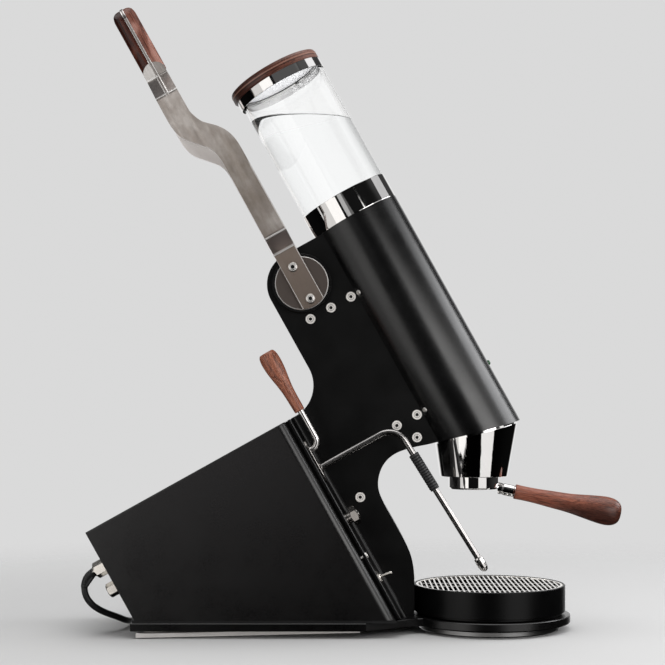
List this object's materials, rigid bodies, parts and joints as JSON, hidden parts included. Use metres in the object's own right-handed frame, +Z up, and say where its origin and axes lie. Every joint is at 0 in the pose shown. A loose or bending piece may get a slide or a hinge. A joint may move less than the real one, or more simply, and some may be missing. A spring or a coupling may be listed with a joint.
{
  "type": "lever espresso machine",
  "caption": "Tabletop lever coffee maker: leaning black cylinder topped by a clear water tube, forked steel hand lever, steam wand, handled coffee holder, round drip tray and wedge housing.",
  "frame": {"origin": "centre of the machine's footprint box (without its mains lead) on the table", "axes": "+X towards the front, where the coffee holder's handle points; +Z up; +Y towards the side away from the steam wand"},
  "size_m": [0.589, 0.2834, 0.6795],
  "materials": {
    "black_metal": "satin black powder coat",
    "silver_foot": "satin",
    "pad_rubber": "matte",
    "boiler_steel": "satin",
    "valve_brass": "machined",
    "chrome": "polished",
    "lever_steel": "brushed",
    "hub_steel": "turned",
    "steel_screw": "bright",
    "steel_inner": "machined",
    "walnut": "oiled",
    "tank_glass": "clear",
    "gasket": "matte",
    "lamp_green": "clear gloss",
    "cord_rubber": "matte",
    "plug_plastic": "moulded"
  },
  "bodies": {
    "chassis": {"base_plate": "black_metal", "metal_feet": "silver_foot", "foot_pads": "pad_rubber", "bottom_pan": "black_metal", "housing_shell": "black_metal", "front_panel": "black_metal", "rear_panel": "black_metal", "boiler_vessel": "boiler_steel", "heating_element": "boiler_steel", "steam_valve_body": "valve_brass", "spine_plate_near": "black_metal", "spine_plate_far": "black_metal", "spine_rear_cover": "black_metal", "spine_front_cover": "black_metal", "spine_spacers": "steel_inner", "chassis_screws": "steel_screw", "barrel_shell": "black_metal", "brew_cylinder": "steel_inner", "group_head": "chrome", "shower_screen": "steel_inner", "group_gasket": "gasket", "pivot_housings": "black_metal", "tank_ring": "chrome", "tank_floor": "steel_inner", "tank_glass": "tank_glass", "valve_escutcheon": "chrome", "relief_fitting": "chrome", "toggle_body": "chrome", "indicator_lamp": "lamp_green", "cord_gland": "chrome", "drain_plug": "chrome", "power_cord": "cord_rubber", "cord_coil": "cord_rubber", "mains_plug": "plug_plastic"},
    "lever": {"pinion": "steel_inner", "pivot_shaft": "steel_inner", "lever_hubs": "hub_steel", "lever_arm_near": "lever_steel", "lever_arm_far": "lever_steel", "lever_tang": "lever_steel", "lever_grip_front": "walnut", "lever_grip_rear": "walnut", "lever_screws": "steel_screw"},
    "carriage": {"piston": "steel_inner", "piston_rod": "steel_inner", "rack": "steel_inner"},
    "portafilter": {"portafilter_body": "chrome", "portafilter_basket": "steel_inner", "portafilter_ferrule": "chrome", "portafilter_handle": "walnut"},
    "lid": {"tank_lid_cap": "chrome", "tank_lid_wood": "walnut"},
    "steam_lever": {"steam_lever_rod": "chrome", "steam_lever_knob": "walnut"},
    "wand": {"wand_tube": "chrome", "wand_grip": "steel_screw", "wand_tip": "chrome"},
    "toggle": {"toggle_lever": "chrome"},
    "tray": {"drip_tray": "black_metal"},
    "grid": {"drip_grid": "steel_inner"}
  },
  "joints": [
    {"name": "lever_hinge", "type": "hinge", "parent": "chassis", "child": "lever", "pos_m": [-0.06261, 0, 0.37587], "axis": [0, 1, 0], "range_deg": [0, 115]},
    {"name": "piston_slide", "type": "slide", "parent": "chassis", "child": "carriage", "axis": [0.4863, 0, -0.8738], "range_m": [0, 0.0285]},
    {"name": "portafilter_turn", "type": "hinge", "parent": "chassis", "child": "portafilter", "pos_m": [0.12553, 0, 0.165], "axis": [0, 0, -1], "range_deg": [0, 45]},
    {"name": "lid_lift", "type": "slide", "parent": "chassis", "child": "lid", "axis": [-0.4863, 0, 0.8738], "range_m": [0, 0.03]},
    {"name": "steam_lever_turn", "type": "hinge", "parent": "chassis", "child": "steam_lever", "pos_m": [-0.05165, -0.056, 0.19702], "axis": [0.8738, 0, 0.4863], "range_deg": [0, 90]},
    {"name": "wand_swivel", "type": "hinge", "parent": "chassis", "child": "wand", "pos_m": [-0.04134, -0.056, 0.1785], "axis": [-0.8738, 0, -0.4863], "range_deg": [0, 80]},
    {"name": "toggle_flip", "type": "hinge", "parent": "chassis", "child": "toggle", "pos_m": [0.02111, -0.056, 0.06219], "axis": [0, -1, 0], "range_deg": [0, 22]},
    {"name": "tray_slide", "type": "slide", "parent": "chassis", "child": "tray", "axis": [1, 0, 0], "range_m": [0, 0.1]},
    {"name": "grid_lift", "type": "slide", "parent": "tray", "child": "grid", "axis": [0, 0, 1], "range_m": [0, 0.0185]}
  ],
  "couplings": [
    {"joint": "piston_slide", "follows": "lever_hinge", "m_per_rad": 0.014}
  ]
}
